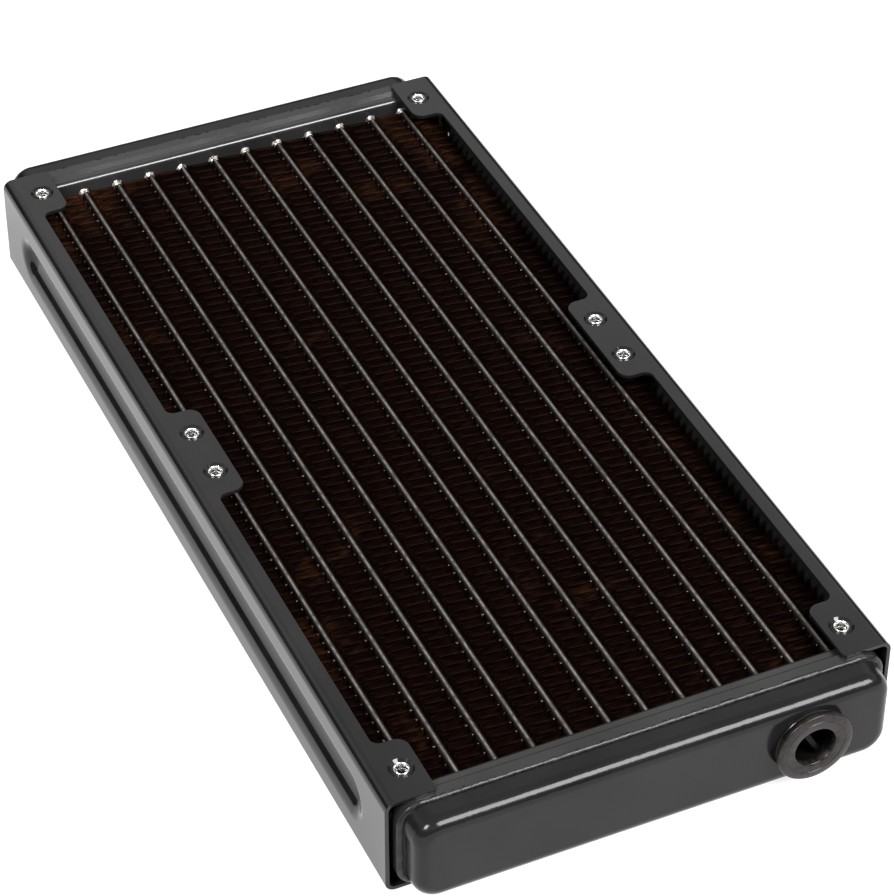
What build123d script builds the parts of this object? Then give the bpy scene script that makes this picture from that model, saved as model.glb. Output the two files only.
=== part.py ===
"""A liquid cooling radiator for two 120 mm fans.

Flat tubes run along Y between two header plates, with corrugated fins between
the tubes. A drawn end tank closes each header and carries one threaded port.
Two folded side frames hold the core and carry the threaded fan holes.

Millimetres. The origin is on the resting plane, under the centre of the fan
hole pattern. X runs across the tubes, Y along them and Z through the thickness.
The front end, with the plugged port, is the one at negative Y.
"""

from build123d import *
import math
import os

# Driving dimensions: the fans, the core and the port thread
FAN_PITCH = 120.0  # centre to centre of the two fans
FAN_HOLES = 105.0  # hole spacing of one 120 mm fan
TUBE_COUNT = 12
TUBE_PITCH = 8.93
TUBE_WIDE = 2.0
TUBE_DEEP = 16.0
TUBE_WALL = 0.3
FIN_STEP = 1.5  # from one fin wall to the next
FIN_SHEET = 0.15
FIN_WALLS = 154
HEIGHT = 26.0

# Side frames
FRAME_WIDTH = 120.3
FRAME_LENGTH = 242.4
SHEET = 1.0
BEND = 2.4  # outer radius of the folds
FLANGE = 4.95  # from the outer face to the flange's inner edge
TAB_REACH = 12.05  # from the outer face to a tab's inner edge
MIDDLE_TAB = 31.8  # length of the tab that carries a hole of each fan
END_TAB = 17.2
TAB_CORNER = 3.0
END_CORNER = 1.2  # the corner of a tab at the end of the frame
TAB_ROOT = 2.0
GROOVE_LENGTH = 215.7
GROOVE_WIDTH = 10.4
GROOVE_DEPTH = 2.72
GROOVE_SLOPE = 43.0  # of the groove's walls, from the frame's face
GROOVE_LIP = 4.5  # the lip and the floor are rounded so much that the walls nearly vanish
GROOVE_FLOOR = 5.6

# Screw bushes in the tabs
BUSH_RADIUS = 1.85
BUSH_BORE = 1.25  # M3 thread, at its minor diameter
BUSH_LENGTH = 3.8
BUSH_ROUND = 0.35
DIMPLE_TOP = 2.9
DIMPLE_FLOOR = 2.2
DIMPLE_BACK = 0.6  # how much wider the pressing is on the sheet's back
DIMPLE_DEPTH = 0.5

# Header plates: distances along Y are from the middle of the radiator
HEADER_FACE = 116.0  # core side of the header plate
HEADER_BEND = 1.2
JOGGLE_START = 118.4
JOGGLE_END = 119.4
RIM_END = 122.1
TUBE_END = 117.6  # the tubes stand a little into the tanks

# End tanks
TANK_END = 129.2
TANK_WIDTH = 114.4  # at the mouth, as is the corner
TANK_HEIGHT = 22.4
TANK_CORNER = 5.0
TANK_DRAFT = 1.1  # how far the side walls lean in on their way to the end face
TANK_EDGE = 3.1  # radius where the end face meets the walls
TANK_SHEET = 0.8  # the header plates are of the same sheet

# Ports
PORT_X = 36.3
PORT_BORE = 5.72  # radius at the crests of the port thread
BOSS_NECK = 7.3
BOSS_COLLAR = 8.5
BOSS_STANDS = 0.7
BOSS_INSIDE = 6.2
SEAL_SPACE = 0.8  # between the boss and the plug's flange
SEAL_PLAY = 0.05
SEAL_BORE = 5.75
SEAL_RADIUS = 8.0
PLUG_SHANK = 5.65
PLUG_SHANK_LENGTH = 6.6
PLUG_FLANGE = 9.1
PLUG_FLANGE_THICK = 1.25
PLUG_HOLLOW = 4.95
PLUG_FLOOR = 1.0
PLUG_EDGE = 0.3
RIB_WIDTH = 1.5
RIB_SUNK = 2.2  # how far the rib lies below the plug's face
RIB_ANGLE = -60.0

# What follows from them
MIDDLE = HEIGHT / 2
TUBE_XS = [(i - (TUBE_COUNT - 1) / 2) * TUBE_PITCH for i in range(TUBE_COUNT)]
GROOVE_BACK = FRAME_WIDTH / 2 - SHEET - GROOVE_DEPTH  # inner face of the pressed groove
FAN_YS = [fan * FAN_PITCH / 2 + side * FAN_HOLES / 2 for fan in (-1, 1) for side in (-1, 1)]
RISING = (Align.CENTER, Align.CENTER, Align.MIN)

# How near an edge's place must be to count, when edges are picked out for a fillet
IN_PLANE = 0.02
NEAR = 0.1
BESIDE = 1.0

os.makedirs("parts", exist_ok=True)


def save(piece, name):
    """Labels a finished piece and writes it as its own file."""
    piece.part.label = name
    export_step(piece.part, f"parts/{name}.step")


# Side frames: a channel with tabs, a pressed groove and dimpled holes
def flat_edges(builder, x, length, width):
    """The edges in the plane at x, within a length and a width about the frame's middle."""
    in_plane = builder.edges().filter_by_position(Axis.X, x - IN_PLANE, x + IN_PLANE)
    within = in_plane.filter_by_position(Axis.Y, -length / 2, length / 2)
    return within.filter_by_position(Axis.Z, MIDDLE - width / 2, MIDDLE + width / 2)


def upright_edges(builder, x, near_y, far_y):
    """The upright edges at x whose distance from the middle is between near_y and far_y."""
    at_x = builder.edges().filter_by(Axis.Z).filter_by_position(Axis.X, x - NEAR, x + NEAR)
    return at_x.filter_by(lambda edge: near_y < abs(edge.center().Y) < far_y)


def side_frame(side):
    """side is -1 for the left frame and +1 for the right one."""
    face = side * FRAME_WIDTH / 2
    far_end = Plane.XZ.offset(-FRAME_LENGTH / 2)
    with BuildPart() as frame:
        # Folded channel, open towards the core
        with BuildSketch(far_end):
            with Locations((face - side * TAB_REACH / 2, MIDDLE)):
                Rectangle(TAB_REACH, HEIGHT)
        extrude(amount=FRAME_LENGTH)
        with BuildSketch(far_end):
            with Locations((face - side * (SHEET + TAB_REACH) / 2, MIDDLE)):
                Rectangle(TAB_REACH - SHEET, HEIGHT - 2 * SHEET)
        extrude(amount=FRAME_LENGTH, mode=Mode.SUBTRACT)
        for fold_x, radius in ((face - side * SHEET, BEND - SHEET), (face, BEND)):
            along = frame.edges().filter_by(Axis.Y)
            fillet(along.filter_by_position(Axis.X, fold_x - NEAR, fold_x + NEAR), radius)

        # Between the tabs the flanges are cut back to a narrow strip
        window = (FRAME_LENGTH - MIDDLE_TAB) / 2 - END_TAB
        window_y = (MIDDLE_TAB + window) / 2
        reach = TAB_REACH - FLANGE
        window_x = face - side * (FLANGE + reach / 2)
        with BuildSketch(Plane.XY):
            with Locations((window_x, -window_y), (window_x, window_y)):
                Rectangle(reach, window)
        extrude(amount=HEIGHT, mode=Mode.SUBTRACT)
        tab_tip = face - side * TAB_REACH
        last_y = FRAME_LENGTH / 2 - NEAR
        fillet(upright_edges(frame, tab_tip, 0, last_y), TAB_CORNER)
        fillet(upright_edges(frame, tab_tip, last_y, FRAME_LENGTH), END_CORNER)
        fillet(upright_edges(frame, face - side * FLANGE, 0, last_y), TAB_ROOT)

        # The pressed groove: its back, then its hollow
        slope = math.radians(GROOVE_SLOPE)
        spread = GROOVE_DEPTH / math.tan(slope)
        back_grows = SHEET * math.tan(slope / 2)
        for start, grows, lip, floor, mode in (
            (SHEET, back_grows, GROOVE_LIP - SHEET, GROOVE_FLOOR + SHEET, Mode.ADD),
            (0.0, 0.0, GROOVE_LIP, GROOVE_FLOOR, Mode.SUBTRACT),
        ):
            length = GROOVE_LENGTH + 2 * grows
            width = GROOVE_WIDTH + 2 * grows
            lip_x = face - side * start
            floor_x = lip_x - side * GROOVE_DEPTH
            with BuildSketch(Plane.YZ.offset(lip_x)):
                with Locations((0, MIDDLE)):
                    SlotOverall(length, width)
            with BuildSketch(Plane.YZ.offset(floor_x)):
                with Locations((0, MIDDLE)):
                    SlotOverall(length - 2 * spread, width - 2 * spread)
            loft(mode=mode)
            fillet(flat_edges(frame, lip_x, length + BESIDE, width + BESIDE), lip)
            fillet(flat_edges(frame, floor_x, length, width), floor)

        # Dimples pressed into both flanges, each with a hole for its bush
        hole_x = side * FAN_HOLES / 2
        for surface, wider, mode in ((SHEET, DIMPLE_BACK, Mode.ADD), (0.0, 0.0, Mode.SUBTRACT)):
            outer = DIMPLE_TOP + wider
            inner = DIMPLE_FLOOR + wider
            top_floor = HEIGHT - surface - DIMPLE_DEPTH
            with Locations([(hole_x, y, surface) for y in FAN_YS]):
                Cone(outer, inner, DIMPLE_DEPTH, align=RISING, mode=mode)
            with Locations([(hole_x, y, top_floor) for y in FAN_YS]):
                Cone(inner, outer, DIMPLE_DEPTH, align=RISING, mode=mode)
        with Locations([(hole_x, y, 0) for y in FAN_YS]):
            Cylinder(BUSH_RADIUS, HEIGHT, align=RISING, mode=Mode.SUBTRACT)
    return frame


for frame_name, frame_side in (("left_side_frame", -1), ("right_side_frame", 1)):
    save(side_frame(frame_side), frame_name)


# Screw bushes: eight to a frame, four in each flange and flush with it
def thread_bushes(side):
    """The bushes of one side frame, as separate solids."""
    spots = [(side * FAN_HOLES / 2, y, z) for y in FAN_YS for z in (0, HEIGHT - BUSH_LENGTH)]
    with BuildPart() as bushes:
        with Locations(spots):
            Cylinder(BUSH_RADIUS, BUSH_LENGTH, align=RISING)
        rims = bushes.edges().filter_by(GeomType.CIRCLE).group_by(Axis.Z)
        fillet(rims[0] + rims[-1], BUSH_ROUND)
        with Locations(spots):
            Cylinder(BUSH_BORE, BUSH_LENGTH, align=RISING, mode=Mode.SUBTRACT)
    return bushes


for bushes_name, bushes_side in (("left_thread_bushes", -1), ("right_thread_bushes", 1)):
    save(thread_bushes(bushes_side), bushes_name)


# Core: flat tubes, open at both ends
def flat_tube(x):
    """One tube at x, its long side standing upright."""
    with BuildPart() as tube:
        with BuildSketch(Plane.XZ.offset(-TUBE_END)):
            with Locations((x, MIDDLE)):
                SlotOverall(TUBE_DEEP, TUBE_WIDE, rotation=90)
                bore = (TUBE_DEEP - 2 * TUBE_WALL, TUBE_WIDE - 2 * TUBE_WALL)
                SlotOverall(*bore, rotation=90, mode=Mode.SUBTRACT)
        extrude(amount=2 * TUBE_END)
    return tube


for tube_number, tube_x in enumerate(TUBE_XS, start=1):
    save(flat_tube(tube_x), f"coolant_tube_{tube_number:02d}")


# Core: corrugated fin strips between the tubes, seen from above a zigzag
def fin_strip(left, right):
    """A strip that reaches from left to right over the tips of its folds."""
    half_sheet = FIN_SHEET / 2 * math.hypot(right - left, FIN_STEP) / FIN_STEP
    middle_x = (left + right) / 2
    swing = (right - left) / 2 - half_sheet
    folds = []
    for fold in range(FIN_WALLS + 1):
        way = 1 if fold % 2 else -1
        folds.append((middle_x + way * swing, (fold - FIN_WALLS / 2) * FIN_STEP))
    right_side = [(x + half_sheet, y) for x, y in folds]
    left_side = [(x - half_sheet, y) for x, y in reversed(folds)]
    with BuildPart() as strip:
        with BuildSketch(Plane.XY.offset(MIDDLE - TUBE_DEEP / 2)):
            with BuildLine():
                Polyline(right_side + left_side, close=True)
            make_face()
        extrude(amount=TUBE_DEEP)
    return strip


left_walls = [-GROOVE_BACK] + [x + TUBE_WIDE / 2 for x in TUBE_XS]
right_walls = [x - TUBE_WIDE / 2 for x in TUBE_XS] + [GROOVE_BACK]
for strip_number, (left, right) in enumerate(zip(left_walls, right_walls), start=1):
    save(fin_strip(left, right), f"fin_strip_{strip_number:02d}")


# Header plates: a pan with tube slots, its rim opened out to take the tank
def end_plane(end, y):
    """The upright plane at a distance y from the middle, towards one end."""
    return Plane.XZ.offset(-end * y)


def tank_outline(end, y, grows, draft=0.0):
    """The tank's outline in the plane at y, grown all round by an amount and narrowed by the draft."""
    width = TANK_WIDTH + 2 * grows - 2 * draft
    height = TANK_HEIGHT + 2 * grows
    with BuildSketch(end_plane(end, y)) as outline:
        with Locations((0, MIDDLE)):
            RectangleRounded(width, height, TANK_CORNER + grows + draft)
    return outline.sketch


def edges_at(builder, y):
    """The edges that lie in the upright plane at y."""
    return builder.edges().filter_by_position(Axis.Y, y - IN_PLANE, y + IN_PLANE)


def header_plate(end):
    """end is -1 for the front plate and +1 for the rear one."""
    with BuildPart() as plate:
        # The outside is added first, then the inside is cut one sheet smaller
        for inset, mode in ((0.0, Mode.ADD), (TANK_SHEET, Mode.SUBTRACT)):
            bottom = HEADER_FACE + inset
            floor = tank_outline(end, bottom, -inset)
            below = tank_outline(end, JOGGLE_START, -inset)
            rim = tank_outline(end, JOGGLE_END, TANK_SHEET - inset)
            extrude(floor, amount=-end * (JOGGLE_START - bottom), mode=mode)
            fillet(edges_at(plate, end * bottom), HEADER_BEND - inset)
            loft([below, rim], mode=mode)
            extrude(rim, amount=-end * (RIM_END - JOGGLE_END), mode=mode)
        with BuildSketch(end_plane(end, HEADER_FACE)):
            with Locations([(x, MIDDLE) for x in TUBE_XS]):
                SlotOverall(TUBE_DEEP, TUBE_WIDE, rotation=90)
        extrude(amount=-end * TANK_SHEET, mode=Mode.SUBTRACT)
    return plate


# End tanks: a drawn cup, its mouth inside the header's rim
def end_tank(end):
    """end is -1 for the front tank and +1 for the rear one."""
    with BuildPart() as tank:
        for inset, mode in ((0.0, Mode.ADD), (TANK_SHEET, Mode.SUBTRACT)):
            mouth = tank_outline(end, JOGGLE_END, -inset)
            loft([mouth, tank_outline(end, TANK_END - inset, -inset, TANK_DRAFT)], mode=mode)
        # The inside is rounded first: left sharp, it would break through the rounded outside
        for inset in (TANK_SHEET, 0.0):
            fillet(edges_at(tank, end * (TANK_END - inset)), TANK_EDGE - inset)
        with BuildSketch(end_plane(end, TANK_END)):
            with Locations((-end * PORT_X, MIDDLE)):
                Circle(BOSS_NECK)
        extrude(amount=end * TANK_SHEET, mode=Mode.SUBTRACT)
    return tank


# Port bosses: a neck through the tank's wall and a collar on its face
BOSS_FACE = TANK_END + BOSS_STANDS


def port_boss(end):
    """A round boss with a plain bore in place of its thread."""
    with BuildPart() as boss:
        for y, radius, length, mode in (
            (TANK_END, BOSS_NECK, -BOSS_INSIDE, Mode.ADD),
            (TANK_END, BOSS_COLLAR, BOSS_STANDS, Mode.ADD),
            (BOSS_FACE, PORT_BORE, -BOSS_INSIDE - BOSS_STANDS, Mode.SUBTRACT),
        ):
            with BuildSketch(end_plane(end, y)):
                with Locations((-end * PORT_X, MIDDLE)):
                    Circle(radius)
            extrude(amount=-end * length, mode=mode)
    return boss


for end_name, which_end in (("front", -1), ("rear", 1)):
    save(header_plate(which_end), f"{end_name}_header_plate")
    save(end_tank(which_end), f"{end_name}_tank")
    save(port_boss(which_end), f"{end_name}_port_boss")


# Sealing ring, with a hair of play to the boss and to the plug
with BuildPart() as seal_ring:
    with BuildSketch(Plane.XZ.offset(BOSS_FACE + SEAL_PLAY)):
        with Locations((PORT_X, MIDDLE)):
            Circle(SEAL_RADIUS)
            Circle(SEAL_BORE, mode=Mode.SUBTRACT)
    extrude(amount=SEAL_SPACE - 2 * SEAL_PLAY)

save(seal_ring, "front_port_seal_ring")


# Plug: a flanged shank, hollow from the front, with a rib across its floor to turn it by
FLANGE_BACK = BOSS_FACE + SEAL_SPACE
PLUG_FACE = FLANGE_BACK + PLUG_FLANGE_THICK
PLUG_BOTTOM = FLANGE_BACK - PLUG_SHANK_LENGTH + PLUG_FLOOR

with BuildPart() as plug:
    with BuildSketch(Plane.XZ.offset(FLANGE_BACK)):
        with Locations((PORT_X, MIDDLE)):
            Circle(PLUG_SHANK)
    extrude(amount=-PLUG_SHANK_LENGTH)
    with BuildSketch(Plane.XZ.offset(FLANGE_BACK)):
        with Locations((PORT_X, MIDDLE)):
            Circle(PLUG_FLANGE)
    extrude(amount=PLUG_FLANGE_THICK)
    with BuildSketch(Plane.XZ.offset(PLUG_BOTTOM)):
        with Locations((PORT_X, MIDDLE)):
            Circle(PLUG_HOLLOW)
            Rectangle(2 * PLUG_HOLLOW, RIB_WIDTH, rotation=RIB_ANGLE, mode=Mode.SUBTRACT)
    extrude(amount=PLUG_FACE - PLUG_BOTTOM, mode=Mode.SUBTRACT)
    with BuildSketch(Plane.XZ.offset(PLUG_FACE - RIB_SUNK)):
        with Locations((PORT_X, MIDDLE)):
            Circle(PLUG_HOLLOW)
    extrude(amount=RIB_SUNK, mode=Mode.SUBTRACT)
    fillet(edges_at(plug, -PLUG_FACE), PLUG_EDGE)

save(plug, "front_port_plug")
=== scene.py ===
"""Looks of the liquid cooling radiator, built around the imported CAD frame."""

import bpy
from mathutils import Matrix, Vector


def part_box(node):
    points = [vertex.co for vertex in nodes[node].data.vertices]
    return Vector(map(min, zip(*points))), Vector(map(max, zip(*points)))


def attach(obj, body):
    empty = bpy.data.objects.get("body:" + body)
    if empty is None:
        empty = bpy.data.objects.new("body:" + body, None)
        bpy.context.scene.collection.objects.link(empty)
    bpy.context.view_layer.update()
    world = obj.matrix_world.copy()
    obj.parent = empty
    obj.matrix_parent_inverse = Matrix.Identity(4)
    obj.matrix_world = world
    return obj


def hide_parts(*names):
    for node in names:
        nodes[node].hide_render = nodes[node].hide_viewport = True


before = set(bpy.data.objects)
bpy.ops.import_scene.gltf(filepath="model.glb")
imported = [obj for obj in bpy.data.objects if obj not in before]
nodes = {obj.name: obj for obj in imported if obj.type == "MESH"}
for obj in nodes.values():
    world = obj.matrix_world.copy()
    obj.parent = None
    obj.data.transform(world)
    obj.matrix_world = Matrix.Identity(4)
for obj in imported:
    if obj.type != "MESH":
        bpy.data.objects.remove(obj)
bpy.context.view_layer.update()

import math
import random

import bmesh
import bpy
from mathutils import Matrix, Vector

scene = bpy.context.scene
chance = random.Random(7)
MM = 0.001

# Sizes that repeat the CAD model's, in millimetres
TUBE_PITCH = 8.93
TUBE_COUNT = 12
TUBE_WIDE = 2.0
TUBE_DEEP = 16.0
HEIGHT = 26.0
MIDDLE = HEIGHT / 2
FIN_STEP = 1.5
FIN_WALLS = 154
FAN_HOLES = [sign * 52.5 for sign in (-1, 1)]
FAN_YS = [fan * 60 + side * 52.5 for fan in (-1, 1) for side in (-1, 1)]
PORT_X = 36.3


# ---------------------------------------------------------------- materials
class Nodes:
    """A material's node tree with a Principled shader, and short ways to add nodes to it."""

    def __init__(self, name):
        self.material = bpy.data.materials.new(name)
        self.material.use_nodes = True
        self.tree = self.material.node_tree
        self.tree.nodes.clear()
        self.shader = self.tree.nodes.new("ShaderNodeBsdfPrincipled")
        output = self.tree.nodes.new("ShaderNodeOutputMaterial")
        self.link(self.shader.outputs["BSDF"], output.inputs["Surface"])
        self.coord = self.tree.nodes.new("ShaderNodeTexCoord").outputs["Object"]

    def link(self, source, target):
        self.tree.links.new(source, target)

    def set(self, **values):
        """Plain values on the shader: metallic=1.0 sets the socket Metallic."""
        for key, value in values.items():
            self.shader.inputs[key.replace("_", " ").title().replace("Ior", "IOR")].default_value = value

    def scaled(self, x, y, z):
        """Object coordinates in millimetres, stretched along each axis."""
        mapping = self.tree.nodes.new("ShaderNodeMapping")
        mapping.inputs["Scale"].default_value = (x / MM, y / MM, z / MM)
        self.link(self.coord, mapping.inputs["Vector"])
        return mapping.outputs["Vector"]

    def noise(self, per_mm, detail=3.0, stretch=(1, 1, 1), roughness=0.5, distortion=0.0):
        """Noise from 0 to 1 with a number of blotches per millimetre."""
        node = self.tree.nodes.new("ShaderNodeTexNoise")
        node.inputs["Scale"].default_value = 1.0
        node.inputs["Detail"].default_value = detail
        node.inputs["Roughness"].default_value = roughness
        node.inputs["Distortion"].default_value = distortion
        self.link(self.scaled(*[per_mm * s for s in stretch]), node.inputs["Vector"])
        return node.outputs["Fac"]

    def remap(self, value, low, high, to_low, to_high):
        """Maps low..high to to_low..to_high, and holds the ends."""
        node = self.tree.nodes.new("ShaderNodeMapRange")
        for key, number in (("From Min", low), ("From Max", high), ("To Min", to_low), ("To Max", to_high)):
            node.inputs[key].default_value = number
        self.link(value, node.inputs["Value"])
        return node.outputs["Result"]

    def mix(self, factor, first, second):
        """A colour between first and second; each is a colour or another node's output."""
        node = self.tree.nodes.new("ShaderNodeMix")
        node.data_type = "RGBA"
        for socket, value in ((node.inputs[0], factor), (node.inputs[6], first), (node.inputs[7], second)):
            if isinstance(value, bpy.types.NodeSocket):
                self.link(value, socket)
            elif isinstance(value, (int, float)):
                socket.default_value = value
            else:
                socket.default_value = (*value, 1.0)
        return node.outputs[2]

    def math(self, operation, first, second=0.0):
        """One arithmetic step on numbers or outputs."""
        node = self.tree.nodes.new("ShaderNodeMath")
        node.operation = operation
        for socket, value in zip(node.inputs, (first, second)):
            if isinstance(value, bpy.types.NodeSocket):
                self.link(value, socket)
            else:
                socket.default_value = value
        return node.outputs["Value"]

    def bump(self, height, depth_mm, strength=1.0, before=None):
        """A bump of a real depth, on top of an earlier one."""
        node = self.tree.nodes.new("ShaderNodeBump")
        node.inputs["Strength"].default_value = strength
        node.inputs["Distance"].default_value = depth_mm * MM
        self.link(height, node.inputs["Height"])
        if before is not None:
            self.link(before, node.inputs["Normal"])
        return node.outputs["Normal"]

    def finish(self, colour=None, roughness=None, normal=None):
        for socket, value in (("Base Color", colour), ("Roughness", roughness), ("Normal", normal)):
            if value is not None:
                self.link(value, self.shader.inputs[socket])
        return self.material

    def place(self, axis):
        """The place along X, Y or Z in millimetres."""
        split = self.tree.nodes.new("ShaderNodeSeparateXYZ")
        self.link(self.scaled(1, 1, 1), split.inputs["Vector"])
        return split.outputs[axis]

    def across_tube(self):
        """Millimetres from the nearest tube's middle line, with a sign."""
        turns = self.math("ADD", self.math("DIVIDE", self.place("X"), TUBE_PITCH), TUBE_COUNT)
        return self.math("MULTIPLY", self.math("SUBTRACT", self.math("FRACT", turns), 0.5), TUBE_PITCH)

    def near_rim(self):
        """Nothing in the core's middle, a little beside the side frames and at the far end."""
        beside = self.remap(self.math("ABSOLUTE", self.place("X")), 36.0, 52.0, 0.0, 0.15)
        return self.math("ADD", beside, self.remap(self.place("Y"), 78.0, 114.0, 0.0, 0.15))


def satin_paint(name, dark, light, ior, low, high, peel):
    """Black paint: cloudy tone, orange peel, fine dust and a varying gloss."""
    paint = Nodes(name)
    paint.set(ior=ior)
    clouds = paint.noise(0.05, detail=4.0)
    grain = paint.noise(2.2, detail=3.0)
    specks = paint.remap(paint.noise(4.5, detail=1.0), 0.74, 0.82, 0.0, 0.06)
    tone = paint.mix(paint.remap(clouds, 0.3, 0.7, 0.0, 1.0), dark, light)
    tone = paint.mix(specks, tone, (0.30, 0.29, 0.28))
    gloss = paint.math("ADD", paint.remap(clouds, 0.3, 0.7, low, high), paint.math("MULTIPLY", grain, 0.03))
    fine = paint.bump(grain, peel * 0.4)
    return paint.finish(tone, gloss, paint.bump(paint.noise(1.1, detail=2.0), peel, before=fine))


def tube_metal():
    """Tubes: thin paint along the top, where the metal shows grey, and thick paint beside it; the grey top
    band is set off to the lit side, so it is partly a painted highlight.
    """
    tube = Nodes("tube_metal")
    tube.set(ior=1.3)
    blotches = tube.noise(1.3, detail=4.0, stretch=(1.0, 0.5, 1.0))
    # The grey top band is partly worn paint and partly a painted highlight: it sits 0.12 mm off the tube's
    # middle line, towards the lit side
    from_lit_crown_line = tube.math("ABSOLUTE", tube.math("ADD", tube.across_tube(), 0.12))
    edge = tube.math("ADD", tube.math("MULTIPLY", blotches, 0.30), from_lit_crown_line)
    middle = tube.remap(edge, 0.30, 0.54, 1.0, 0.0)
    height = tube.place("Z")
    crown_wear_and_highlight = tube.math("MULTIPLY", middle, tube.remap(height, 20.2, 20.7, 0.0, 1.0))
    under = tube.math("MULTIPLY", middle, tube.remap(height, 5.3, 5.8, 1.0, 0.0))
    bare = tube.mix(tube.remap(blotches, 0.35, 0.65, 0.0, 1.0), (0.030, 0.026, 0.023), (0.105, 0.094, 0.086))
    tone = tube.mix(tube.math("ADD", crown_wear_and_highlight, under), (0.002, 0.001, 0.001), bare)
    gloss = tube.remap(blotches, 0.3, 0.7, 0.34, 0.52)
    return tube.finish(tone, gloss, tube.bump(blotches, 0.03))


def fin_foil():
    """Copper fins under an uneven coat of black: brown-black, with patches where the copper shows."""
    foil = Nodes("fin_foil")
    foil.set(ior=1.12)
    cloud = foil.noise(0.05, detail=3.0, distortion=0.6)
    patch = foil.remap(foil.math("ADD", cloud, foil.near_rim()), 0.64, 0.90, 0.0, 1.0)
    streak = foil.noise(0.9, detail=3.0, stretch=(0.35, 1.0, 1.0))
    streaks = foil.remap(streak, 0.3, 0.7, 0.0, 1.0)
    coat = foil.mix(streaks, (0.0009, 0.0002, 0.0001), (0.0040, 0.0010, 0.0005))
    bare = foil.math("MULTIPLY", patch, foil.remap(streak, 0.4, 0.7, 0.2, 0.9))
    tone = foil.mix(bare, coat, (0.030, 0.011, 0.004))
    gloss = foil.remap(streak, 0.3, 0.7, 0.42, 0.6)
    return foil.finish(tone, gloss, foil.bump(foil.noise(3.0, detail=2.0), 0.015))


def solder_metal(name, painted, bare):
    """Solder: grey, lumpy and partly under paint."""
    solder = Nodes(name)
    solder.set(metallic=0.6)
    blotches = solder.noise(1.1, detail=4.0)
    tone = solder.mix(solder.remap(blotches, 0.38, 0.58, 0.0, 1.0), painted, bare)
    return solder.finish(tone, solder.remap(blotches, 0.3, 0.7, 0.45, 0.25), solder.bump(blotches, 0.05))


def painted_solder():
    """The same solder under the tank's black paint."""
    seam = Nodes("painted_solder")
    seam.set(ior=1.35)
    lumps = seam.noise(0.8, detail=4.0)
    tone = seam.mix(seam.remap(lumps, 0.4, 0.7, 0.0, 1.0), (0.002, 0.002, 0.002), (0.007, 0.007, 0.007))
    return seam.finish(tone, seam.remap(lumps, 0.3, 0.7, 0.30, 0.42), seam.bump(lumps, 0.08))


def bright_zinc():
    """Zinc-plated steel: turning marks, a mottled gloss, and painted shade down in the thread, where the
    colour turns dark with depth.
    """
    zinc = Nodes("bright_zinc")
    zinc.set(metallic=1.0)
    mottle = zinc.noise(1.6, detail=4.0)
    marks = zinc.noise(7.0, detail=2.0, stretch=(0.6, 0.6, 2.0))
    tone = zinc.mix(mottle, (0.62, 0.62, 0.60), (0.82, 0.82, 0.80))
    # Painted shade: the thread's colour falls to dark grey from 1.4 to 2.4 mm below the rim
    depth = zinc.math("ABSOLUTE", zinc.math("SUBTRACT", zinc.place("Z"), MIDDLE))
    tone = zinc.mix(zinc.remap(depth, MIDDLE - 2.4, MIDDLE - 1.4, 1.0, 0.0), tone, (0.05, 0.05, 0.05))
    return zinc.finish(tone, zinc.remap(mottle, 0.3, 0.7, 0.20, 0.30), zinc.bump(marks, 0.002))


def moulded_plug():
    """The plug: matt black with a fine grain, and painted shade inside its recess, where the colour is darker
    and the reflection weaker.
    """
    plug = Nodes("moulded_plug")
    plug.set(ior=1.32)
    grain = plug.noise(5.0, detail=3.0)
    cloud = plug.noise(0.7, detail=5.0)
    tone = plug.mix(plug.remap(cloud, 0.3, 0.7, 0.0, 1.0), (0.001, 0.0008, 0.0007), (0.014, 0.0105, 0.0095))
    # Painted shade in the recess: a darker colour and a weaker reflection deeper in
    recess_shade = plug.remap(plug.place("Y"), -131.2, -130.2, 0.0, 1.0)
    tone = plug.mix(recess_shade, tone, (0.0015, 0.0013, 0.0013))
    plug.link(plug.remap(recess_shade, 0.0, 1.0, 0.5, 0.12), plug.shader.inputs["Specular IOR Level"])
    gloss = plug.math("ADD", plug.remap(cloud, 0.3, 0.7, 0.20, 0.32), plug.math("MULTIPLY", grain, 0.08))
    return plug.finish(tone, gloss, plug.bump(grain, 0.012))


def seal_rubber():
    """The sealing ring: soft black rubber with a dusty bloom."""
    rubber = Nodes("seal_rubber")
    rubber.set(ior=1.45)
    bloom = rubber.noise(1.2, detail=4.0)
    tone = rubber.mix(rubber.remap(bloom, 0.35, 0.7, 0.0, 1.0), (0.008, 0.008, 0.008), (0.022, 0.021, 0.020))
    return rubber.finish(tone, rubber.remap(bloom, 0.3, 0.7, 0.55, 0.72), rubber.bump(bloom, 0.01))


FRAME_PAINT = satin_paint(
    "frame_paint", (0.005, 0.005, 0.0055), (0.008, 0.008, 0.0085), ior=1.385, low=0.07, high=0.11, peel=0.0015
)
HEADER_PAINT = satin_paint(
    "header_paint", (0.010, 0.010, 0.010), (0.018, 0.018, 0.018), ior=1.45, low=0.14, high=0.22, peel=0.003
)
TANK_PAINT = satin_paint(
    "tank_paint", (0.005, 0.005, 0.0055), (0.009, 0.009, 0.0095), ior=1.27, low=0.12, high=0.18, peel=0.0015
)
BOSS_PAINT = satin_paint(
    "boss_paint", (0.005, 0.005, 0.005), (0.009, 0.009, 0.009), ior=1.4, low=0.12, high=0.18, peel=0.003
)
TUBE_METAL = tube_metal()
FIN_FOIL = fin_foil()
TUBE_SOLDER = solder_metal("tube_solder", (0.03, 0.025, 0.022), (0.42, 0.40, 0.38))
# Crest dots: solder lighter than the fin coat, put on the lit crests only, so they are partly a painted
# highlight
CREST_SOLDER_GLINT = solder_metal("crest_solder_glint", (0.006, 0.004, 0.004), (0.085, 0.070, 0.064))
PAINTED_SOLDER = painted_solder()
BRIGHT_ZINC = bright_zinc()
MOULDED_PLUG = moulded_plug()
SEAL_RUBBER = seal_rubber()

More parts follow.
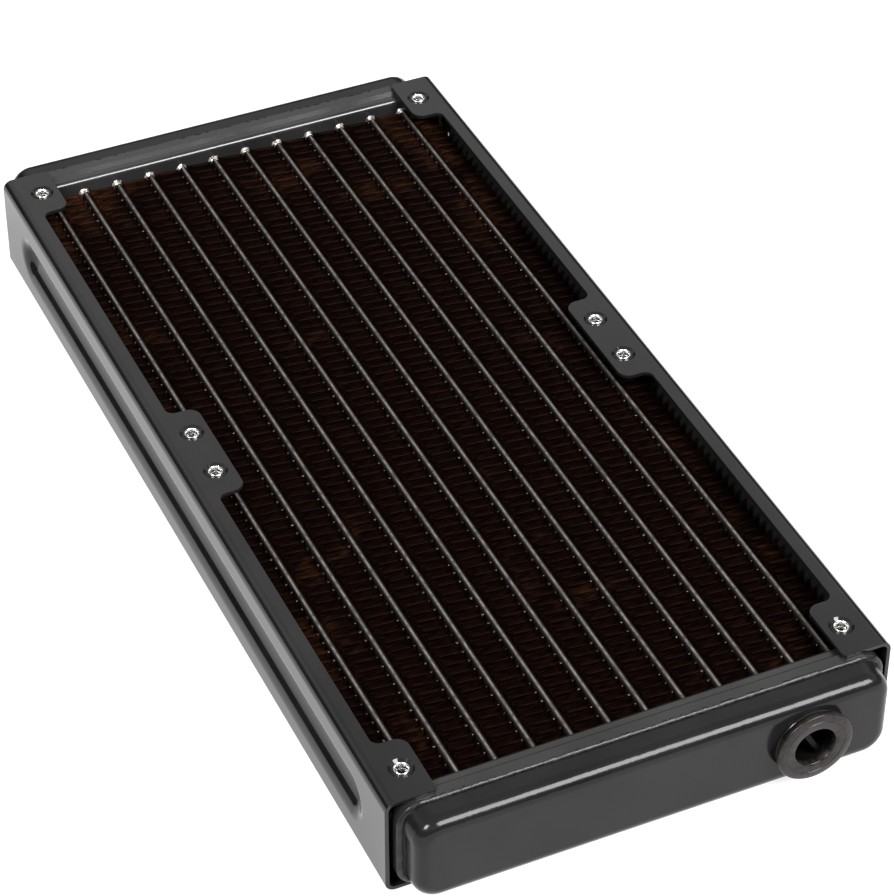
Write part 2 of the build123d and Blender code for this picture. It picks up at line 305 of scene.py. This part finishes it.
# The tubes and tanks keep their CAD meshes; every other node is replaced by a finer piece below
for name, node in nodes.items():
    material = None
    if name.startswith("coolant"):
        material = TUBE_METAL
    elif name.endswith("tank"):
        material = TANK_PAINT
    for slot in node.material_slots:
        slot.material = material


# ---------------------------------------------------------------- pieces
def make_piece(name, verts, faces, material, body="radiator", stands_for=(), sharp=40.0):
    """A new piece from points in millimetres and faces that list them, shaded smooth up to a sharp angle."""
    mesh = bpy.data.meshes.new(name)
    mesh.from_pydata([[c * MM for c in vert] for vert in verts], [], faces)
    bm = bmesh.new()
    bm.from_mesh(mesh)
    bmesh.ops.recalc_face_normals(bm, faces=bm.faces)
    bm.to_mesh(mesh)
    bm.free()
    piece = bpy.data.objects.new(name, mesh)
    scene.collection.objects.link(piece)
    mesh.materials.append(material)
    mesh.shade_smooth()
    mesh.set_sharp_from_angle(angle=math.radians(sharp))
    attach(piece, body)
    if stands_for:
        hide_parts(*stands_for)
    return piece


def eased(name, node_name, width, material):
    """A sheet metal piece with the node's shape, its cut edges broken to a small round."""
    bm = bmesh.new()
    bm.from_mesh(nodes[node_name].data)
    bmesh.ops.remove_doubles(bm, verts=bm.verts, dist=1e-6)
    bmesh.ops.dissolve_limit(bm, angle_limit=math.radians(0.5), verts=bm.verts, edges=bm.edges)
    edges = [e for e in bm.edges if e.is_manifold and e.calc_face_angle() > math.radians(50)]
    bmesh.ops.bevel(
        bm, geom=edges, offset=width * MM, offset_type="OFFSET", segments=2, profile=0.5,
        affect="EDGES", clamp_overlap=False,
    )
    bm.verts.index_update()
    verts = [[c / MM for c in v.co] for v in bm.verts]
    faces = [[v.index for v in f.verts] for f in bm.faces]
    bm.free()
    piece = make_piece(name, verts, faces, material, stands_for=[node_name], sharp=33.0)
    flats = piece.modifiers.new("flat_faces_stay_flat", "WEIGHTED_NORMAL")
    flats.keep_sharp = True
    flats.weight = 90
    return piece


eased("left_frame_sheet", "left_side_frame", 0.16, FRAME_PAINT)
eased("right_frame_sheet", "right_side_frame", 0.16, FRAME_PAINT)
eased("front_header_sheet", "front_header_plate", 0.13, HEADER_PAINT)
eased("rear_header_sheet", "rear_header_plate", 0.13, HEADER_PAINT)


def turned(rings, places, pitch=1.0, segments=48):
    """Closed turned shapes. rings are (radius, height, thread depth) once round the section, and each place
    is a function that takes (across, up, height) to a point. A thread depth makes that ring a helix."""
    verts = []
    faces = []
    for place in places:
        start = len(verts)
        for radius, height, depth in rings:
            for step in range(segments):
                angle = 2 * math.pi * step / segments
                turn = (height / pitch + step / segments) % 1.0
                r = radius + depth * (1 - abs(2 * turn - 1))
                verts.append(place(r * math.cos(angle), r * math.sin(angle), height))
        count = len(rings)
        for ring in range(count):
            for step in range(segments):
                after = (step + 1) % segments
                low = start + ring * segments
                high = start + (ring + 1) % count * segments
                faces.append((low + step, low + after, high + after, high + step))
    return verts, faces


def thread_rings(radius, first, last, depth, pitch):
    """Rings of a thread from one height to the other, six to each pitch."""
    count = max(2, round(abs(last - first) / pitch * 6))
    return [(radius, first + (last - first) * i / count, depth) for i in range(count + 1)]


# Screw bushes: a rounded bright rim, a countersink and an M3 thread that runs out in it
M3_PITCH = 0.5
BUSH = [(1.66, 0.0, 0), (1.76, -0.05, 0), (1.83, -0.17, 0), (1.85, -0.35, 0)]
BUSH += [(1.85, -3.8, 0), (1.40, -3.8, 0)]
BUSH += thread_rings(1.22, -3.6, -1.1, 0.14, M3_PITCH)
BUSH += [(1.22, -0.85, 0.10), (1.26, -0.45, 0.06), (1.42, -0.24, 0), (1.56, -0.06, 0), (1.61, -0.01, 0)]


def upper_bush(x, y):
    return lambda a, b, h: (x + a, y + b, HEIGHT + h)


def lower_bush(x, y):
    return lambda a, b, h: (x + a, y + b, -h)


for side_name, hole_x in (("left", FAN_HOLES[0]), ("right", FAN_HOLES[1])):
    spots = [bush(hole_x, y) for y in FAN_YS for bush in (upper_bush, lower_bush)]
    verts, faces = turned(BUSH, spots, M3_PITCH, 32)
    replaced = [f"{side_name}_thread_bushes"]
    make_piece(f"{side_name}_bushes", verts, faces, BRIGHT_ZINC, stands_for=replaced)


# Ports: threaded bosses, the ring and the plug. Heights are from the middle of the radiator
PORT_PITCH = 1.337
BOSS = [(7.3, 123.0, 0), (7.3, 129.2, 0), (8.2, 129.2, 0), (8.42, 129.28, 0)]
BOSS += [(8.5, 129.45, 0), (8.5, 129.66, 0), (8.42, 129.83, 0), (8.25, 129.9, 0)]
BOSS += [(6.55, 129.9, 0), (6.3, 129.8, 0)]
BOSS += thread_rings(5.72, 129.3, 123.4, 0.45, PORT_PITCH)
BOSS += [(6.25, 123.0, 0)]


def front_port(a, b, h):
    return (PORT_X + a, -h, MIDDLE + b)


def rear_port(a, b, h):
    return (-PORT_X - a, h, MIDDLE + b)


for end_name, place in (("front", front_port), ("rear", rear_port)):
    verts, faces = turned(BOSS, [place], PORT_PITCH, 72)
    replaced = [f"{end_name}_port_boss"]
    make_piece(f"{end_name}_boss", verts, faces, BOSS_PAINT, stands_for=replaced)

RING = [(5.85, 129.97, 0), (7.8, 129.95, 0), (7.95, 130.05, 0), (8.0, 130.3, 0)]
RING += [(7.95, 130.55, 0), (7.8, 130.65, 0), (5.85, 130.63, 0), (5.76, 130.5, 0), (5.76, 130.1, 0)]
verts, faces = turned(RING, [front_port], 1.0, 72)
make_piece("seal_ring", verts, faces, SEAL_RUBBER, "seal_carrier", ["front_port_seal_ring"])

# The plug is closed at its inner end: its last rings are so small that they make its floor
TINY = 0.01
PLUG = [(TINY, 124.1, 0), (5.0, 124.1, 0)]
PLUG += thread_rings(5.65, 124.4, 130.0, -0.35, PORT_PITCH)
PLUG += [(5.4, 130.3, 0), (5.4, 130.7, 0), (8.85, 130.7, 0), (9.04, 130.78, 0), (9.1, 130.95, 0)]
PLUG += [(9.1, 131.16, 0), (8.98, 131.22, 0), (8.98, 131.34, 0), (9.1, 131.4, 0), (9.1, 131.62, 0)]
PLUG += [(9.02, 131.82, 0), (8.82, 131.93, 0), (7.35, 131.95, 0), (7.28, 131.87, 0), (7.1, 131.87, 0)]
PLUG += [(7.03, 131.95, 0), (5.35, 131.95, 0), (5.08, 131.86, 0), (4.97, 131.65, 0), (4.95, 125.4, 0)]
PLUG += [(4.8, 125.2, 0), (4.5, 125.1, 0), (TINY, 125.1, 0)]
verts, faces = turned(PLUG, [front_port], PORT_PITCH, 72)

# A rib across the plug's hollow, its ends in the wall
RIB_ANGLE = math.radians(-60)
rib_start = len(verts)
section = [(-0.75, 125.0), (-0.75, 129.5), (-0.66, 129.68), (-0.5, 129.75), (0.5, 129.75), (0.66, 129.68)]
section += [(0.75, 129.5), (0.75, 125.0)]
for reach in (-5.0, 5.0):
    for across, height in section:
        x = reach * math.cos(RIB_ANGLE) - across * math.sin(RIB_ANGLE)
        z = reach * math.sin(RIB_ANGLE) + across * math.cos(RIB_ANGLE)
        verts.append(front_port(x, z, height))
size = len(section)
for i in range(size):
    after = (i + 1) % size
    faces.append((rib_start + i, rib_start + after, rib_start + size + after, rib_start + size + i))
faces.append([rib_start + i for i in range(size)])
faces.append([rib_start + size + i for i in reversed(range(size))])
make_piece("port_plug", verts, faces, MOULDED_PLUG, "plug", ["front_port_plug"], sharp=45.0)


# Fins: a corrugated foil with rounded crests and a louvre near each face
CREST = 0.42
CREST_ANGLES = [math.radians(a) for a in (-68, 0, 68)]
LOUVRE = 0.17
FOIL = 0.11
# Heights down the foil, each with the way its louvre leans
ROWS = [(21.0, 0), (20.75, 0), (20.6, 1), (19.2, -1), (19.05, 0)]
ROWS += [(6.95, 0), (6.8, -1), (5.4, 1), (5.25, 0), (5.0, 0)]
# Shares of the way along a wall, each with how far a louvre pushes it
SHARES = ((0.12, 0.0), (0.17, 1.0), (0.83, 1.0), (0.88, 0.0))


def foil_line(left, right):
    """Points along the folded foil seen from above, each with the way and the amount a louvre pushes it."""
    points = []
    crests = []
    for fold in range(FIN_WALLS + 1):
        way = 1 if fold % 2 else -1
        tip = right if way > 0 else left
        y = (fold - FIN_WALLS / 2) * FIN_STEP + chance.uniform(-0.10, 0.10)
        centre = tip - way * (CREST + FOIL / 2)
        crests.append([(centre + way * CREST * math.cos(a), y + CREST * math.sin(a)) for a in CREST_ANGLES])
    for fold, crest in enumerate(crests):
        points += [(point, (0, 0)) for point in crest]
        if fold < FIN_WALLS:
            a, b = Vector(crest[-1]), Vector(crests[fold + 1][0])
            push = Vector((-(b - a).y, (b - a).x)).normalized() * LOUVRE
            bow = chance.uniform(-0.07, 0.07)
            for share, amount in SHARES:
                sag = bow * math.sin(math.pi * share)
                points.append((a.lerp(b, share) + Vector((0, sag)), push * amount))
    return points


def fin_strip(number):
    """A strip of folded foil, a few hundredths of a millimetre clear of its neighbours."""
    low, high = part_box(f"fin_strip_{number:02d}")
    line = foil_line(low[0] / MM + 0.03, high[0] / MM - 0.03)
    verts = []
    columns = len(line)
    for face in (-1, 1):
        for i, (point, push) in enumerate(line):
            before = Vector(line[max(i - 1, 0)][0])
            after = Vector(line[min(i + 1, columns - 1)][0])
            along = (after - before).normalized()
            thick = Vector((-along.y, along.x)) * face * FOIL / 2
            for z, amount in ROWS:
                spot = Vector(point) + thick + Vector(push) * amount
                verts.append((spot.x, spot.y, z))
    rows = len(ROWS)
    back = columns * rows
    faces = []
    for i in range(columns - 1):
        for j in range(rows - 1):
            a = i * rows + j
            faces.append((a, a + 1, a + rows + 1, a + rows))
            faces.append((back + a, back + a + rows, back + a + rows + 1, back + a + 1))
        for a in (i * rows, i * rows + rows - 1):
            faces.append((a, a + rows, back + a + rows, back + a))
    for first in (0, (columns - 1) * rows):
        for j in range(rows - 1):
            a = first + j
            faces.append((a, a + 1, back + a + 1, back + a))
    name = f"fin_strip_{number:02d}"
    make_piece(f"fin_foil_{number:02d}", verts, faces, FIN_FOIL, stands_for=[name], sharp=35.0)


for number in range(1, TUBE_COUNT + 2):
    fin_strip(number)


# Solder: a dot on each right-hand crest only, the side where lit crests glint, so the dots are partly a
# painted highlight; a fillet round each tube's end and a seam round each tank
def lump(centre, size):
    """A small uneven rounded lump of 26 points."""
    verts = []
    for j in range(5):
        tilt = math.pi * j / 4 - math.pi / 2
        for i in range(6):
            angle = 2 * math.pi * i / 6
            r = math.cos(tilt) + 0.02
            grow = chance.uniform(0.8, 1.15)
            ball = (r * math.cos(angle) * grow, r * math.sin(angle) * grow, math.sin(tilt))
            verts.append([c + s * b for c, s, b in zip(centre, size, ball)])
    faces = [list(range(6)), list(range(24, 30))]
    for low in range(0, 24, 6):
        for i in range(6):
            after = (i + 1) % 6
            faces.append((low + i, low + after, low + 6 + after, low + 6 + i))
    return verts, faces


def joined(shapes):
    """Several shapes as one list of points and one of faces."""
    verts = []
    faces = []
    for more_verts, more_faces in shapes:
        start = len(verts)
        verts += more_verts
        faces += [[start + i for i in face] for face in more_faces]
    return verts, faces


# Dots only on the right-hand crests, where crests catch the light: painted highlight as well as solder
glint_dots = []
for number in range(1, TUBE_COUNT + 1):
    edge_x = (number - 1 - (TUBE_COUNT - 1) / 2) * TUBE_PITCH - TUBE_WIDE / 2
    for fold in range(1, FIN_WALLS + 1, 2):
        y = (fold - FIN_WALLS / 2) * FIN_STEP
        grow = chance.uniform(0.55, 1.15)
        spot = (edge_x - 0.42 + chance.uniform(-0.08, 0.05), y + chance.uniform(-0.12, 0.12), 20.86)
        glint_dots.append(lump(spot, (0.34 * grow, 0.30 * grow, 0.13)))
verts, faces = joined(glint_dots)
make_piece("crest_solder_glint", verts, faces, CREST_SOLDER_GLINT, sharp=80.0)


def swept(path, section):
    """A closed tube of section points along a closed path of (point, outward, along) directions."""
    verts = []
    for point, outward, along in path:
        grow = chance.uniform(0.8, 1.25)
        for out, ahead in section:
            verts.append([p + o * out * grow + a * ahead * grow for p, o, a in zip(point, outward, along)])
    size = len(section)
    faces = []
    for i in range(len(path)):
        here = i * size
        there = (i + 1) % len(path) * size
        for j in range(size):
            after = (j + 1) % size
            faces.append((here + j, here + after, there + after, there + j))
    return verts, faces


def rounded_outline(half_wide, half_high, corner, spacing):
    """Points round a rounded rectangle in X and Z, each with its outward direction."""
    line = []
    for quarter in range(4):
        sx = (1, -1, -1, 1)[quarter]
        sz = (1, 1, -1, -1)[quarter]
        centre = (sx * (half_wide - corner), sz * (half_high - corner))
        steps = max(3, round(corner * math.pi / 2 / spacing))
        for i in range(steps + 1):
            angle = math.pi / 2 * (quarter + i / steps)
            way = (math.cos(angle), math.sin(angle))
            line.append(((centre[0] + corner * way[0], centre[1] + corner * way[1]), way))
        across = half_wide - corner if quarter % 2 == 0 else half_high - corner
        run = round(2 * across / spacing)
        last, way = line[-1]
        step = (-way[1] * 2 * across / (run + 1), way[0] * 2 * across / (run + 1))
        for i in range(1, run + 1):
            line.append(((last[0] + step[0] * i, last[1] + step[1] * i), way))
    return line


FILLET = [(-0.25, -0.2), (-0.25, 0.95), (0.02, 0.9), (0.10, 0.5), (0.28, 0.2), (0.5, 0.03), (0.5, -0.2)]
SEAM = [(-0.3, -0.3), (0.75, -0.3), (0.72, 0.05), (0.45, 0.28), (0.15, 0.52), (-0.3, 0.55)]
HEADER_Y = 116.0  # the header plates' inner faces
SEAM_Y = 122.1  # the end of the header plates' rims
for end_name, end in (("front", -1), ("rear", 1)):
    fillets = []
    for number in range(TUBE_COUNT):
        tube_x = (number - (TUBE_COUNT - 1) / 2) * TUBE_PITCH
        outline = rounded_outline(TUBE_WIDE / 2, TUBE_DEEP / 2, TUBE_WIDE / 2 - 0.01, 0.7)
        path = [
            ((tube_x + p[0], end * HEADER_Y, MIDDLE + p[1]), (w[0], 0, w[1]), (0, -end, 0))
            for p, w in outline
        ]
        fillets.append(swept(path, FILLET))
    verts, faces = joined(fillets)
    make_piece(f"{end_name}_tube_solder", verts, faces, TUBE_SOLDER, sharp=70.0)

    outline = rounded_outline(57.15, 11.2, 5.05, 0.8)
    path = [((p[0], end * SEAM_Y, MIDDLE + p[1]), (w[0], 0, w[1]), (0, end, 0)) for p, w in outline]
    verts, faces = swept(path, SEAM)
    make_piece(f"{end_name}_tank_seam", verts, faces, PAINTED_SOLDER, sharp=70.0)


# ---------------------------------------------------------------- camera, floor and light
camera_data = bpy.data.cameras.new("camera")
camera = bpy.data.objects.new("camera", camera_data)
scene.collection.objects.link(camera)
scene.camera = camera
right = Vector((0.90936, -0.41599, 0.00313))
down = Vector((-0.2647, -0.58442, -0.76707))
forward = Vector((0.32092, 0.69671, -0.64156))
camera.matrix_world = Matrix.Translation(Vector((-0.25035, -0.56409, 0.52505))) @ Matrix(
    (right, -down, -forward)
).transposed().to_4x4()
camera_data.sensor_width = 36.0
camera_data.lens = 134.9
camera_data.clip_start = 0.01
camera_data.clip_end = 20.0

floor_mesh = bpy.data.meshes.new("floor")
floor_mesh.from_pydata([(-3, -3, 0), (3, -3, 0), (3, 3, 0), (-3, 3, 0)], [], [(0, 1, 2, 3)])
floor = bpy.data.objects.new("floor", floor_mesh)
scene.collection.objects.link(floor)
floor.location.z = -0.0002
white = Nodes("floor_white")
white.set(roughness=0.9, emission_strength=0.8)
white.shader.inputs["Base Color"].default_value = (0.3, 0.3, 0.3, 1)
white.shader.inputs["Emission Color"].default_value = (1, 1, 1, 1)
floor.data.materials.append(white.material)


def area_light(name, azimuth, elevation, distance, width, height, power):
    """A soft box that looks at the origin from an azimuth (0 is -Y, positive towards +X)."""
    data = bpy.data.lights.new(name, "AREA")
    data.shape = "RECTANGLE"
    data.size = width
    data.size_y = height
    data.energy = power
    light = bpy.data.objects.new(name, data)
    scene.collection.objects.link(light)
    a, e = math.radians(azimuth), math.radians(elevation)
    direction = Vector((math.sin(a) * math.cos(e), -math.cos(a) * math.cos(e), math.sin(e)))
    light.location = direction * distance
    light.rotation_euler = direction.to_track_quat("Z", "Y").to_euler()


area_light("key", 27, 46, 1.6, 0.9, 0.7, 56)
area_light("side", -66, 45, 1.7, 0.5, 0.5, 34)

world = bpy.data.worlds.new("studio")
scene.world = world
world.use_nodes = True
background = world.node_tree.nodes["Background"]
sky = world.node_tree.nodes.new("ShaderNodeTexCoord")
split = world.node_tree.nodes.new("ShaderNodeSeparateXYZ")
world.node_tree.links.new(sky.outputs["Generated"], split.inputs["Vector"])
# Dark at the horizon, brightest at a third of the way up, dimmer overhead
glow = world.node_tree.nodes.new("ShaderNodeMath")
glow.operation = "MULTIPLY"
slopes = ((0.36, 0.56, 0.004, 1.05), (0.60, 0.80, 1.0, 0.45))
for factor, (low, high, at_low, at_high) in zip(glow.inputs, slopes):
    shade = world.node_tree.nodes.new("ShaderNodeMapRange")
    for key, number in (("From Min", low), ("From Max", high), ("To Min", at_low), ("To Max", at_high)):
        shade.inputs[key].default_value = number
    world.node_tree.links.new(split.outputs["Z"], shade.inputs["Value"])
    world.node_tree.links.new(shade.outputs["Result"], factor)
world.node_tree.links.new(glow.outputs["Value"], background.inputs["Strength"])
background.inputs["Color"].default_value = (1, 0.985, 0.965, 1)
scene.view_settings.view_transform = "Standard"
